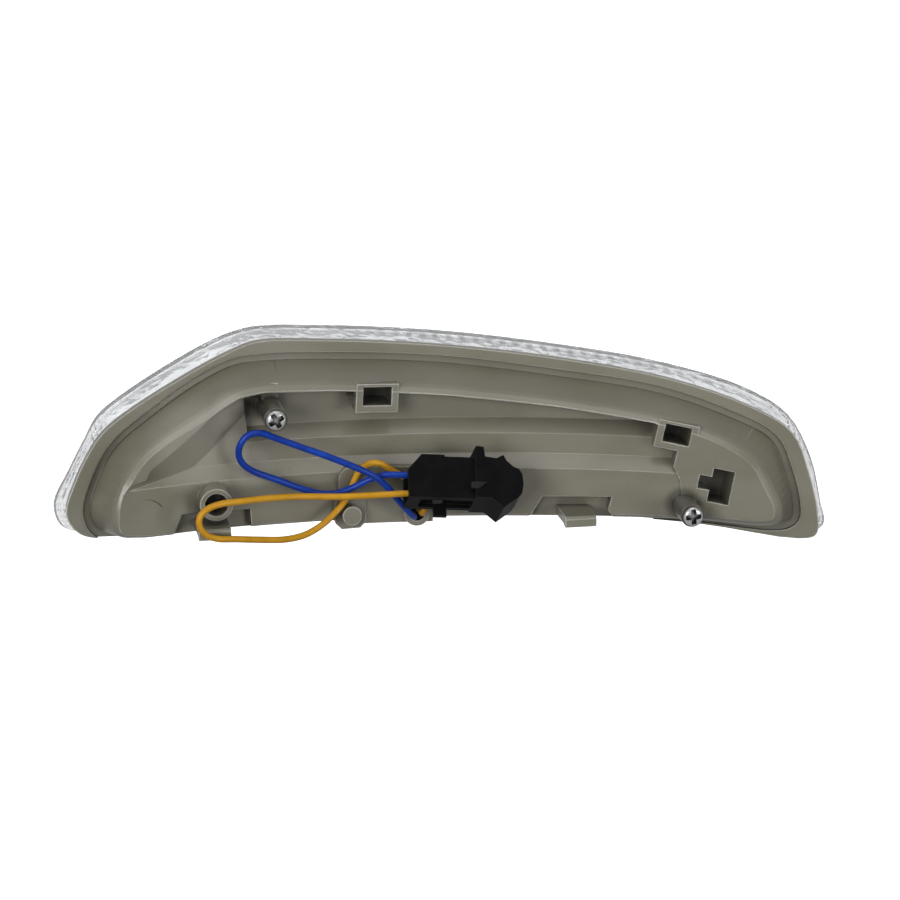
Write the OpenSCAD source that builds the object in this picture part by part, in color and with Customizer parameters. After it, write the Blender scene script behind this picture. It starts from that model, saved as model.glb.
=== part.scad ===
// Side repeater lamp for a door mirror, seen from behind.
// The datum is the locating bore: its axis is Y, and its rear rim lies in the plane Y = 0.
// X runs along the lamp, Z is up, and -Y points out of the back towards the mirror's frame.
// A level is a distance behind the flange's rear face, measured along the bend's radius.

/* [Bend and datum] */
// Radius of the lamp's bend in plan, at the flange's rear face
bend_radius = 230; // [210:5:260]
// Distance along X from the locating bore to the crown of the bend
crown_x = 61; // [55:1:67]
// Distance along Y from the locating bore's rim to the flange's rear face
rim_to_flange = 18; // [17:0.5:19.5]
// Lean of the rear panel's creases, in degrees
crease_lean = 2; // [1.5:0.25:2.5]

/* [Housing shell] */
// Thickness of the housing's walls
wall = 1.8; // [1.6:0.1:2]
// Thickness of the flange that carries the lens
flange_t = 2.2; // [1.8:0.1:2.8]
// Height of the body behind the flange
body_h = 11.5; // [11:0.25:12]
// Depth of the groove between flange and body wall
groove_d = 0.9; // [0.6:0.1:1.2]
// Width of the groove between flange and body wall
groove_w = 2; // [1.6:0.1:2.4]

/* [Rear panel levels] */
// Level of the deep upper field
deep_level = 5; // [4.5:0.25:5.5]
// Level of the middle field
mid_level = 8; // [7.5:0.25:8.5]
// Level of the lower field
low_level = 11; // [10.6:0.1:11.2]
// Level of the recessed wall in the two hook notches
notch_level = 8.5; // [8:0.25:9]
// Level of the raised pad behind the wires
pad_level = 12.3; // [12:0.1:12.8]

/* [Bosses] */
// Radius of the locating bore
locating_r = 2.9; // [2.7:0.05:3.1]
// Length of the locating bore
locating_len = 11; // [9:0.5:12]
// Wall of the locating boss
locating_wall = 1.25; // [1:0.05:1.5]
// Radius of the locating peg
peg_r = 2.45; // [2.2:0.05:2.7]
// Length of the locating peg
peg_len = 3.6; // [3:0.1:4.5]
// Width of the block that carries the peg
peg_block_w = 8; // [7:0.25:9]
// Radius of the cable exit's bore
exit_r = 1.95; // [1.9:0.05:2.1]
// Wall of the cable exit's boss
exit_wall = 1.35; // [1.1:0.05:1.6]
// Level of the cable exit's rim
exit_level = 14; // [13.5:0.25:14.5]
// Outer radius of the two screw bosses
screw_boss_r = 3; // [2.9:0.05:3.2]
// Level of the seats under the screw heads
screw_seat_level = 20.4; // [20:0.2:21]
// Thickness of the end cap that the screw passes through
boss_cap_t = 1.5; // [1.2:0.1:2]

/* [Clip sockets and slot] */
// Height of a clip socket's hole
socket_h = 4.8; // [4.5:0.1:5]
// Depth of a clip socket's hole
socket_depth = 9.5; // [8:0.25:10]
// Thickness of a clip socket's bars
socket_bar = 1.8; // [1.5:0.1:2.1]
// Level of the clip sockets' rims
socket_level = 11.4; // [11.2:0.05:11.45]
// Width of the clip slot
slot_w = 5.2; // [5:0.1:5.6]
// Height of the clip slot
slot_h = 9; // [8.5:0.25:9.5]
// Depth of the clip slot
slot_depth = 8; // [7:0.25:9]

/* [Hook tabs] */
// Width of a hook tab
tab_w = 8.1; // [7:0.1:9]
// Thickness of a hook tab
tab_t = 2.7; // [2.2:0.1:3]
// Level of the hook tabs' ends
tab_level = 20; // [18:0.5:21]

/* [Lens] */
// Depth of the lens skirt in front of the flange
lens_h = 13; // [12:0.5:14]
// Wall of the lens
lens_t = 2; // [1.8:0.1:2.4]
// Rounding of the lens's front edge
lens_round = 2.4; // [2:0.1:3]
// Pitch of the flutes inside the lens
flute_pitch = 3.5; // [3:0.1:4]
// Radius of a flute
flute_r = 1.9; // [1.8:0.1:2.1]
// Number of flutes
flutes = 30; // [20:1:30]

/* [Reflector and board] */
// Thickness of the reflector's plate
reflector_t = 1.4; // [1.2:0.1:1.8]
// Gap between the reflector's rim and the housing's inner wall
reflector_gap = 0.6; // [0.3:0.1:0.8]
// Length of the circuit board
board_l = 70; // [66:1:74]
// Height of the circuit board
board_w = 11; // [10:0.5:11.5]
// Thickness of the circuit board
board_t = 1.6; // [1.2:0.1:1.6]
// Distance between light-emitting diodes
led_pitch = 13; // [11:0.5:14]
// Number of light-emitting diodes
leds = 5; // [3:1:5]

/* [Screws] */
// Radius of a screw's pan head
screw_head_r = 2.55; // [2.3:0.05:2.6]
// Height of a screw's pan head
screw_head_h = 1.7; // [1.4:0.1:2]
// Radius over a screw's thread
screw_r = 1.1; // [1:0.05:1.2]
// Length of a screw under its head
screw_len = 9; // [7:0.5:11]

/* [Wires and connector] */
// Diameter of a wire over its insulation
wire_d = 1.7; // [1.6:0.1:1.8]
// Length of the connector's rear body
plug_l = 17; // [15:0.5:19]
// Width of the connector's rear body
plug_w = 11.3; // [11:0.1:12]
// Thickness of the connector's rear body
plug_t = 8; // [7.5:0.25:8.5]
// Thickness of the connector's hood
hood_t = 10.4; // [10:0.2:11]
// Roll of the connector about its length, in degrees
plug_roll = 38; // [36:1:40]
// Dip of the connector's free end, in degrees
plug_dip = 5; // [4:0.5:6]

/* [Hidden] */
eps = 0.01;
lens_front = -flange_t - lens_h;
round_fn = 48;
bend_fn = 360;
// Length of cutting solids that reach right through the lamp
reach = 120;
fit_gap = 0.05;

// Stations round the lamp, clockwise seen from behind: flange edge, groove, crest of the body, lens edge.
stations = [
  [[-29.8, -9.3], [-26.0, -8.6], [-21.5, -7.3], [-32.0, -11.3]],
  [[-34.5, -6.8], [-29.4, -6.4], [-24.3, -5.8], [-37.6, -8.8]],
  [[-37.1, -1.6], [-30.8, -1.6], [-25.0, -1.5], [-39.4, -2.5]],
  [[-34.8, 5.5], [-28.9, 4.6], [-24.0, 4.0], [-35.2, 5.6]],
  [[-31.3, 12.1], [-25.8, 10.6], [-21.0, 9.5], [-31.2, 12.6]],
  [[-27.3, 17.3], [-22.3, 14.5], [-17.5, 13.5], [-27.6, 18.4]],
  [[-21.8, 21.1], [-15.7, 18.9], [-12.0, 17.0], [-22.0, 22.4]],
  [[-5.9, 29.0], [-4.0, 25.8], [-1.5, 22.0], [-6.5, 30.4]],
  [[6.0, 34.0], [6.5, 30.2], [6.8, 26.4], [5.8, 35.4]],
  [[13.3, 36.0], [14.0, 30.8], [13.5, 27.1], [14.0, 36.9]],
  [[30.0, 34.9], [31.0, 29.8], [31.0, 25.9], [30.0, 35.9]],
  [[61.0, 31.7], [61.0, 27.1], [60.0, 22.9], [61.0, 32.8]],
  [[92.0, 27.3], [91.0, 22.6], [90.0, 18.8], [92.0, 28.4]],
  [[120.0, 22.0], [117.0, 18.2], [114.0, 14.5], [121.0, 23.3]],
  [[139.9, 15.4], [135.0, 12.1], [130.0, 9.5], [142.0, 17.0]],
  [[150.0, 9.2], [144.8, 6.8], [138.2, 4.0], [152.3, 10.4]],
  [[154.0, -0.5], [148.2, -1.0], [141.8, -2.5], [158.0, -0.5]],
  [[156.6, -12.0], [150.3, -9.5], [144.3, -8.0], [160.6, -12.0]],
  [[156.3, -18.0], [150.2, -13.8], [143.8, -11.6], [161.6, -19.0]],
  [[152.0, -19.3], [147.5, -15.4], [140.5, -12.9], [157.0, -21.6]],
  [[127.0, -16.6], [126.0, -14.2], [125.0, -12.3], [128.0, -18.0]],
  [[90.0, -14.3], [90.0, -12.9], [90.0, -12.0], [90.0, -15.4]],
  [[50.0, -12.6], [50.0, -11.5], [50.0, -10.6], [50.0, -13.6]],
  [[5.0, -11.0], [5.0, -9.9], [5.0, -9.0], [4.6, -12.2]]
];
station_steps = 4;
// The spine that the curved end faces of a loft are stretched over
spine = [[-21, -1], [141, -7]];
spine_steps = 14;

// Corners of the sunk part of the rear panel, and of its deep field
sunk_field = [[-30, -20], [-30, 5.2], [-17.3, 7.3], [-15.7, 10], [-13.0, 15.6], [-1.2, 20.8],
  [7.2, 25.0], [13.5, 25.7], [31, 24.6], [60, 21.6], [90, 17.5], [113.6, 13.4], [119.5, 9.5],
  [119.2, 5.6], [118.4, 2.0], [120.2, -2.0], [120.9, -20]];
deep_field = [[9.6, 12], [6.8, 40], [127, 40], [127, 8.4]];

// Levels across the rear panel: [height at the crown, level], from the top down
panel_slopes = [[50, mid_level], [5.3, mid_level], [2.1, low_level], [-40, low_level]];
deep_slopes = [[50, deep_level], [14.0, deep_level], [10.6, mid_level], [-40, mid_level]];
// Slope at the left end of the sunk part: two points of its upper edge, and how far it runs down
ramp_edge = [[-22.5, 6], [7.6, 28]];
ramp_run = 9;
// Rounding of the body's crest: distance below the top, and inset
crest_round = [[2.2, 0], [1.1, 0.35], [0.4, 0.9], [-0.4, 1.6]];

screw_axes = [[15.2, 21.1], [121.1, -8.3]];
screw_boss_roots = [deep_level, notch_level];
peg_at = [35.4, -7.4];
peg_block = [31.5, -11.7, 7.8];
exit_at = [52.6, -8.6];
// Places of the two wires in the cable exit, and of the seal behind them
lead_offsets = [[-0.9, -0.6], [0.9, 0.6]];
seal_y = [15, 19];
pad_field = [[32.4, -10.5], [32.4, 4.4], [57, 3.2], [57, -11.5]];
// Clip sockets: middle of the hole, its width and its turn
sockets = [[[42.8, 22.3], 7.4, 3], [[119.2, 10.4], 6.6, 11]];
slot_at = [130.1, -3];
slot_turn = 10;
slot_notch = [3, 3.6];
tab_mid_x = [-0.8, 93.6];
tab_top_z = [-5.5, -9.2];
notch_fields = [
  [[-12.8, -14], [-8.3, -3.1], [9.4, -4.2], [10.2, -14]],
  [[80.4, -15], [85.6, -6.3], [103.2, -6.5], [102.3, -10], [105.5, -15]]
];

board_at = [66, -3];
board_front_y = panel_y(crown_x, 0) - 3.2;
board_pins_x = [40, 92];
led_size = [3, 1.5, 3];

// Points that the wires follow, from the cable exit to the connector
blue_route = [
  [51.7, 15.0, -9.2], [51.7, 13.5, -9.2], [51.7, 11.8, -9.2], [51.2, 9.4, -8.5], [49.2, 7.4, -6.1],
  [46.3, 5.7, -2.4], [43.6, 4.4, 1.2], [40.0, 3.3, 4.6], [34.5, 2.8, 7.6], [28.5, 3.4, 10.2],
  [21.5, 3.8, 13.0], [15.0, 3.9, 15.7], [11.8, 4.1, 16.9], [8.6, 4.2, 16.4], [6.7, 4.4, 14.1],
  [6.3, 4.9, 11.2], [7.5, 5.6, 8.6], [10.4, 6.6, 6.2], [15.7, 7.7, 3.7], [22.0, 8.4, 0.8],
  [27.2, 8.8, -1.0], [31.5, 8.8, -1.1], [35.3, 8.3, 0.2], [39.7, 7.3, 2.5], [43.6, 6.2, 3.8],
  [48.1, 5.8, 3.65], [50.1, 5.8, 3.47], [52.1, 5.8, 3.3]
];
orange_route = [
  [53.5, 15.0, -8.0], [53.5, 13.5, -8.0], [53.5, 12.2, -8.0], [53.5, 10.7, -8.0], [53.6, 9.0, -7.5],
  [53.8, 7.7, -6.1], [53.8, 7.4, -4.3], [53.5, 8.1, -2.5], [52.6, 9.5, -0.8], [50.9, 10.7, 0.7],
  [48.3, 11.3, 2.0], [45.5, 11.1, 3.8],
  [43.1, 10.5, 5.5], [40.3, 10.2, 5.9], [37.9, 10.3, 4.5], [36.5, 10.6, 1.9], [35.2, 10.6, -1.2],
  [33.3, 10.0, -4.2], [30.6, 8.8, -6.7], [27.2, 7.3, -9.0], [22.8, 5.0, -10.5], [17.4, 2.3, -10.6],
  [10.8, -1.0, -9.3], [4.2, -4.2, -7.8], [-0.6, -5.9, -6.9], [-3.5, -6.9, -5.4], [-5.1, -7.4, -2.9],
  [-4.9, -7.5, -0.5], [-3.0, -7.3, 1.3], [0.2, -6.6, 2.2], [5.5, -4.8, 2.1], [13.4, -1.3, 1.5],
  [21.5, 1.4, 0.7], [31.5, 2.6, -0.2], [41.8, 2.7, -0.3], [47.8, 2.73, -0.29], [49.8, 2.73, -0.46],
  [51.77, 2.73, -0.64]
];

// Connector: its middle, and corners of its outlines in its own plane
plug_at = [57.4, 4.7, 1.4];
plug_left = -9;
body_face = [[plug_left, -plug_w / 2], [plug_left, 1.9], [plug_left + 3.6, plug_w / 2 + 0.5],
  [0.4, plug_w / 2 + 0.5], [0.6, plug_w / 2], [plug_left + plug_l, plug_w / 2], [plug_left + plug_l, -plug_w / 2]];
hood_left = 8;
hood_face = [[hood_left, 7.6], [hood_left + 0.5, 8.4], [hood_left + 2.4, 8.2], [hood_left + 2.7, 5.6],
  [13.6, 5.2], [15.4, 6.2], [16.2, 4.6], [18.0, 3.0], [19.2, 2.6], [20.1, 1.2], [20.3, -1.6],
  [19.8, -4.0], [18.8, -5.2], [14.9, -8.2], [11.9, -5.6], [hood_left, -5.6]];
mouth = [8, 7.2, 6.4];
mouth_v = -0.7;
lead_pitch = 5;
blade = [0.8, 1.4];
window = [13.6, 5.4, 1.2];

function bend_y() = rim_to_flange - sqrt(pow(bend_radius, 2) - pow(crown_x, 2));
function panel_y(x, level) = bend_y() + sqrt(pow(bend_radius - level, 2) - pow(x - crown_x, 2));

// Closed curve through the points, with a number of steps between each two.
function curve(pts, steps) = [
  for (i = [0:len(pts) - 1], j = [0:steps - 1])
    let (n = len(pts))
      along(pts[(i + n - 1) % n], pts[i], pts[(i + 1) % n], pts[(i + 2) % n], j / steps)
];
// Open curve through the points, straight at its two ends.
function open_curve(pts, steps) = concat([
  for (i = [0:len(pts) - 2], j = [0:steps - 1])
    let (m = len(pts) - 1, b = pts[i], c = pts[i + 1])
      along(i == 0 ? 2 * b - c : pts[i - 1], b, c, i == m - 1 ? 2 * c - b : pts[i + 2], j / steps)
], [pts[len(pts) - 1]]);
// Point between b and c, on a curve whose steps follow the points' uneven spacing.
function along(a, b, c, d, t) =
  let (k = sqrt(norm(c - b)), ka = sqrt(norm(b - a)), kd = sqrt(norm(d - c)),
    m = (b - a) * k / ka - (c - a) * k / (ka + k) + (c - b),
    n = (c - b) - (d - b) * k / (k + kd) + (d - c) * k / kd)
    b * (2 * t * t * t - 3 * t * t + 1) + m * (t * t * t - 2 * t * t + t)
    + c * (3 * t * t - 2 * t * t * t) + n * (t * t * t - t * t);

function ring_of(k) = curve([for (s = stations) s[k]], station_steps);
flange_ring = ring_of(0);
groove_ring = ring_of(1);
crest_ring = ring_of(2);
lens_edge_ring = ring_of(3);

// Outline moved inwards by a distance, along its own normals.
function inset(pts, d) = [
  for (i = [0:len(pts) - 1])
    let (n = len(pts), t = pts[(i + 1) % n] - pts[(i + n - 1) % n], l = norm(t))
      pts[i] + d * [t[1], -t[0]] / l
];
function grown(pts, d) = d > 0 ? inset(pts, -d) : pts;
// The inset for every other point, without those that would cross over in a tight corner.
function inset_open(pts, d) =
  let (moved = inset(pts, d))
    [for (i = [0:2:len(pts) - 1]) if (min([for (q = pts) norm(q - moved[i])]) > 0.98 * d) moved[i]];
// Body outline at a level: the groove at level 0 and the crest at the body's full height.
function body_ring(level, d) = inset([
  for (i = [0:len(groove_ring) - 1]) groove_ring[i] + (crest_ring[i] - groove_ring[i]) * level / body_h
], d);
// Lens outline: the flange edge at share 0 and the lens edge at share 1.
function lens_ring(share, d) = inset([
  for (i = [0:len(flange_ring) - 1]) flange_ring[i] + (lens_edge_ring[i] - flange_ring[i]) * share
], d);
function on_level(pts, level) = [for (p = pts) [p[0], panel_y(p[0], level), p[1]]];

function spine_at(j) = spine[0] + (spine[1] - spine[0]) * j / spine_steps;
function spine_near(x) =
  max(0, min(spine_steps, round((x - spine[0][0]) / (spine[1][0] - spine[0][0]) * spine_steps)));

// Solid between outlines that lie on curved levels, with end faces stretched over the spine.
module loft(rings, levels) {
  n = len(rings[0]);
  k = len(rings);
  base = n * k;
  points = concat(
    [for (i = [0:k - 1]) each on_level(rings[i], levels[i])],
    [for (e = [0, k - 1], j = [0:spine_steps]) let (s = spine_at(j)) [s[0], panel_y(s[0], levels[e]), s[1]]]
  );
  near = [for (p = rings[0]) spine_near(p[0])];
  far = [for (p = rings[k - 1]) spine_near(p[0])];
  last = base + spine_steps + 1;
  sides = [
    for (r = [0:k - 2], i = [0:n - 1])
      let (a = r * n + i, b = r * n + (i + 1) % n) each [[a, b, b + n], [a, b + n, a + n]]
  ];
  front = [
    for (i = [0:n - 1])
      let (j = (i + 1) % n) each concat(
        [[j, i, base + near[i]]],
        near[i] == near[j] ? [] : [[j, base + near[i], base + near[j]]])
  ];
  rear = [
    for (i = [0:n - 1])
      let (j = (i + 1) % n, o = (k - 1) * n) each concat(
        [[o + i, o + j, last + far[i]]],
        far[i] == far[j] ? [] : [[o + j, last + far[j], last + far[i]]])
  ];
  polyhedron(points = points, faces = concat(sides, front, rear));
}

// Everything within a flat outline that runs along Y.
module prism(pts) {
  translate([0, reach / 2, 0])
    rotate([90, 0, 0])
      linear_extrude(reach)
        polygon(pts);
}
// Upright cylinder about the bend's axis, whose wall lies at a level.
module bend_solid(level) {
  translate([crown_x, bend_y(), -reach / 2])
    cylinder(r = bend_radius - level, h = reach, $fn = bend_fn);
}
// The space between two levels, low behind high.
module between(front, rear) {
  difference() {
    bend_solid(front);
    bend_solid(rear);
  }
}
// The space behind a panel whose level changes with height.
module behind_panel(slopes, thickness) {
  inner = bend_radius - 40;
  translate([crown_x, bend_y(), 0])
    rotate([0, crease_lean, 0])
      rotate([0, 0, -120])
        rotate_extrude(angle = 240, start = 90, $fn = bend_fn)
          polygon(concat(
            [for (s = slopes) [bend_radius - s[1] + thickness, s[0]]],
            [[inner, slopes[len(slopes) - 1][0]], [inner, slopes[0][0]]]));
}
// Cylinder along Y between two values of Y.
module rod(at, r, y0, y1) {
  translate([at[0], y1, at[1]])
    rotate([90, 0, 0])
      cylinder(r = r, h = y1 - y0, $fn = round_fn);
}
// Block along Y, turned about it, between two values of Y.
module block(at, size, y0, y1, turn = 0) {
  translate([at[0], y0, at[1]])
    rotate([0, turn, 0])
      translate([-size[0] / 2, 0, -size[1] / 2])
        cube([size[0], y1 - y0, size[1]]);
}

module panel_fields(thickness) {
  difference() {
    intersection() {
      prism(grown(sunk_field, thickness));
      behind_panel(panel_slopes, thickness);
    }
    field_ramp(thickness);
  }
  intersection() {
    prism(grown(sunk_field, thickness));
    prism(grown(deep_field, thickness));
    behind_panel(deep_slopes, thickness);
  }
}
// Everything in front of the sloping left end of the sunk part.
module field_ramp(thickness) {
  edge = ramp_edge[1] - ramp_edge[0];
  foot = (ramp_edge[0] + ramp_edge[1]) / 2 + ramp_run * [edge[1], -edge[0]] / norm(edge);
  a = on_level([ramp_edge[0]], body_h)[0];
  b = on_level([ramp_edge[1]], body_h)[0];
  c = on_level([foot], mid_level)[0];
  u = (b - a) / norm(b - a);
  w = cross(b - a, c - a) / norm(cross(b - a, c - a));
  v = cross(w, u);
  p = a + thickness * w;
  difference() {
    multmatrix([[u[0], v[0], w[0], p[0]], [u[1], v[1], w[1], p[1]], [u[2], v[2], w[2], p[2]], [0, 0, 0, 1]])
      translate([-reach / 2, -reach / 2, 0])
        cube([reach, reach, reach / 3]);
    prism(grown(deep_field, thickness));
  }
}
module notches(thickness) {
  for (f = notch_fields)
    intersection() {
      prism(grown(f, thickness));
      bend_solid(notch_level - thickness);
    }
}
module shell() {
  difference() {
    union() {
      intersection() {
        prism(flange_ring);
        between(-flange_t, 0);
      }
      intersection() {
        loft(
          concat([body_ring(-flange_t / 2, 0)], [for (r = crest_round) body_ring(body_h - r[0], r[1])]),
          concat([-flange_t / 2], [for (r = crest_round) body_h - r[0]]));
        between(-flange_t, body_h);
      }
    }
    panel_fields(0);
    notches(0);
    difference() {
      intersection() {
        loft([body_ring(-flange_t - 2, wall), body_ring(body_h + 1, wall)], [-flange_t - 2, body_h + 1]);
        between(-flange_t - 4, body_h - wall);
      }
      panel_fields(wall);
      notches(wall);
    }
    groove();
  }
}
module groove() {
  intersection() {
    difference() {
      prism(body_ring(0, -groove_w));
      prism(body_ring(0, 0));
    }
    between(-groove_d, 4);
  }
}

module housing() {
  color([0.56, 0.55, 0.49])
    difference() {
      union() {
        shell();
        housing_inside();
        housing_outside();
      }
      housing_holes();
    }
}
module housing_outside() {
  locating_boss();
  wire_pad();
  for (i = [0, 1])
    rod(screw_axes[i], screw_boss_r, panel_y(screw_axes[i][0], screw_seat_level),
      panel_y(screw_axes[i][0], screw_boss_roots[i] - wall));
  boss_rib();
  rod(exit_at, exit_r + exit_wall, panel_y(exit_at[0], exit_level), seal_y[1]);
  for (s = sockets)
    socket_body(s);
  for (i = [0, 1])
    hook_tab(tab_mid_x[i], tab_top_z[i]);
}
module housing_inside() {
  for (x = board_pins_x)
    rod([x, board_at[1]], 1.8, board_front_y - board_t - 8, board_front_y - board_t);
  slot_box();
}
module housing_holes() {
  rod([0, 0], locating_r, -eps, locating_len);
  rod(exit_at, exit_r, panel_y(exit_at[0], exit_level + 1), panel_y(exit_at[0], 1));
  for (a = screw_axes) {
    rod(a, screw_boss_r - 0.9, panel_y(a[0], screw_seat_level - boss_cap_t), panel_y(a[0], -4));
    rod(a, screw_r + fit_gap, panel_y(a[0], screw_seat_level + 1), panel_y(a[0], screw_seat_level - boss_cap_t - 1));
  }
  for (s = sockets)
    block(s[0], [s[1], socket_h], panel_y(s[0][0], socket_level + 3), panel_y(s[0][0], socket_level - socket_depth),
      s[2]);
  slot_hole(0, panel_y(slot_at[0], body_h + 3), panel_y(slot_at[0], body_h - slot_depth));
}
module locating_boss() {
  rod([0, 0], locating_r + locating_wall, 0, locating_len + wall);
}
module wire_pad() {
  intersection() {
    prism(rounded(pad_field, 3));
    between(pad_level - wall - 2, pad_level);
  }
  intersection() {
    translate([peg_block[0] + peg_block_w / 2, 0, peg_block[1]])
      peg_block_shape();
    between(4, pad_level + 0.4);
  }
  rod(peg_at, peg_r, panel_y(peg_at[0], pad_level + peg_len), panel_y(peg_at[0], pad_level - 1));
}
module peg_block_shape() {
  w = peg_block_w / 2;
  h = peg_block[2];
  prism([[-w, 1.6], [-w, h], [w, h], [w, 1.6], [w - 1.6, 0], [1.6 - w, 0]]);
}
module boss_rib() {
  a = screw_axes[0];
  block([a[0], a[1] + 4], [4.2, 5], panel_y(a[0], mid_level + 1.6), panel_y(a[0], deep_level - 1));
}
module socket_body(s) {
  x = s[0][0];
  bar = [s[1] + 2 * socket_bar, socket_h + socket_bar + 0.8];
  intersection() {
    translate([x, 0, s[0][1]])
      rotate([0, s[2], 0])
        block([0, (0.8 - socket_bar) / 2], bar, panel_y(x, socket_level + 4),
          panel_y(x, socket_level - socket_depth - wall));
    between(0, socket_level);
  }
  socket_gusset(s);
}
// Pointed rib that props the socket's left wall.
module socket_gusset(s) {
  x = s[0][0] - s[1] / 2 - socket_bar;
  z = s[0][1] - 0.6;
  y0 = panel_y(x, deep_level - 1);
  y1 = panel_y(x, socket_level - 0.6);
  polyhedron(
    points = [[x - 2.4, y0, z], [x + 1, y0, z + 3], [x + 1, y0, z - 3], [x + 0.4, y1, z], [x + 1, y1, z]],
    faces = [[0, 2, 1], [0, 1, 3], [0, 3, 2], [1, 4, 3], [2, 3, 4], [1, 2, 4]]);
}
module hook_tab(x, top) {
  y0 = panel_y(x, tab_level);
  y1 = panel_y(x, notch_level - wall / 2);
  translate([x - tab_w / 2, 0, top])
    rotate([90, 0, 90])
      linear_extrude(tab_w)
        polygon([[y1, 0], [y0 + 0.8, 0], [y0, -0.6], [y0, -tab_t], [y0 + 1.6, -tab_t], [y0 + 2.4, 0.5 - tab_t],
          [y1, 0.2 - tab_t]]);
}
module slot_box() {
  intersection() {
    slot_hole(wall, panel_y(slot_at[0], body_h + 3), panel_y(slot_at[0], body_h - slot_depth - wall));
    between(0, body_h - wall / 2);
  }
}
module slot_hole(grow, y0, y1) {
  block(slot_at, [slot_w + 2 * grow, slot_h + 2 * grow], y0, y1, slot_turn);
  translate([slot_at[0], 0, slot_at[1]])
    rotate([0, slot_turn, 0])
      translate([-slot_w / 2 - slot_notch[0] - grow, y0, -slot_notch[1] / 2 - grow + 0.3])
        cube([slot_notch[0] + 1 + grow, y1 - y0, slot_notch[1] + 2 * grow]);
}
// Outline with one rounded corner, the second.
function rounded(pts, r) = [
  pts[0],
  each [for (a = [180:-15:90]) [pts[1][0] + r + r * cos(a), pts[1][1] - r + r * sin(a)]],
  for (i = [2:len(pts) - 1]) pts[i]
];

module lens() {
  color([0.9, 0.93, 0.95, 0.35])
    difference() {
      loft([lens_ring(1, lens_round), lens_ring(1, 0.3 * lens_round), lens_ring(1, 0), lens_ring(-0.1, 0)],
        [lens_front, lens_front + 0.3 * lens_round, lens_front + lens_round, 1 - flange_t]);
      bend_solid(-flange_t);
      difference() {
        loft([lens_ring(1, lens_t + lens_round), lens_ring(1, lens_t), lens_ring(-0.2, lens_t)],
          [lens_front + lens_t, lens_front + lens_round + 1, 2 - flange_t]);
        flute_band();
      }
    }
}
// Row of half-round flutes that stand on the lens's inner face.
module flute_band() {
  r = bend_radius + flange_t + lens_h - lens_t;
  step = flute_pitch / r * 180 / PI;
  intersection() {
    prism(lens_ring(1, lens_t + lens_round + 1));
    translate([crown_x, bend_y(), -reach / 2])
      for (i = [0:flutes - 1])
        rotate([0, 0, 90 + step * ((flutes - 1) / 2 - i + 1.5)])
          translate([r + 0.6, 0, 0])
            cylinder(r = flute_r, h = reach, $fn = 24);
  }
}

module reflector() {
  color([0.93, 0.93, 0.92])
    difference() {
      union() {
        intersection() {
          prism(inset_open(body_ring(0, 0), wall + reflector_gap));
          between(-reflector_t - reflector_gap, -reflector_gap);
        }
        for (a = screw_axes)
          rod(a, screw_boss_r - 1.1, panel_y(a[0], screw_seat_level - boss_cap_t), panel_y(a[0], -1));
      }
      for (a = screw_axes)
        rod(a, screw_r + fit_gap, panel_y(a[0], screw_seat_level), panel_y(a[0], 3));
      for (i = [0:leds - 1])
        translate([led_x(i) - 3, 0, board_at[1] - 3])
          cube([6, 60, 6]);
    }
}

function led_x(i) = board_at[0] + (i - (leds - 1) / 2) * led_pitch;
module circuit_board() {
  color([0.10, 0.32, 0.16])
    difference() {
      translate([board_at[0] - board_l / 2, board_front_y - board_t, board_at[1] - board_w / 2])
        cube([board_l, board_t, board_w]);
      for (x = board_pins_x)
        rod([x, board_at[1]], 0.9, board_front_y - board_t - 1, board_front_y + 1);
    }
}
module led(i) {
  color([0.95, 0.88, 0.45])
    translate([led_x(i), board_front_y, board_at[1]])
      rotate([-90, 0, 0]) {
        translate([-led_size[0] / 2, -led_size[2] / 2, 0])
          cube([led_size[0], led_size[2], 0.8]);
        translate([0, 0, 0.8])
          cylinder(r1 = 1.3, r2 = 0.8, h = 0.7, $fn = round_fn);
      }
}
module resistor(i) {
  color([0.12, 0.12, 0.13])
    translate([board_at[0] - 19.5 + 13 * i, board_front_y, board_at[1] + 2])
      cube([2.6, 0.7, 1.4]);
}
module diode() {
  color([0.15, 0.14, 0.14])
    translate([board_at[0] + 19, board_front_y, board_at[1] + 1.8])
      cube([4, 1.2, 2.4]);
}
module board_leads() {
  color([0.8, 0.5, 0.3])
    for (o = lead_offsets)
      rod(exit_at + o, 0.5, seal_y[1], board_front_y - board_t);
}

module screw(a) {
  seat = panel_y(a[0], screw_seat_level);
  color([0.78, 0.78, 0.8])
    translate([a[0], seat, a[1]])
      rotate([90, 0, 0])
        difference() {
          union() {
            rotate_extrude($fn = round_fn)
              polygon([[0, 0], [screw_head_r, 0], [screw_head_r, 0.5 * screw_head_h],
                for (t = [15:15:75]) [screw_head_r - 0.9 + 0.9 * cos(t), screw_head_h * (0.5 + 0.5 * sin(t))],
                [screw_head_r - 0.9, screw_head_h], [0, screw_head_h]]);
            translate([0, 0, -screw_len])
              cylinder(r = screw_r, h = screw_len + eps, $fn = round_fn);
          }
          for (turn = [25, 115])
            rotate([0, 0, turn])
              translate([-1.5, -0.35, screw_head_h - 0.9])
                cube([3, 0.7, 1]);
        }
}
module wire_seal() {
  color([0.1, 0.1, 0.1])
    rod(exit_at, exit_r, seal_y[0], seal_y[1]);
}

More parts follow.
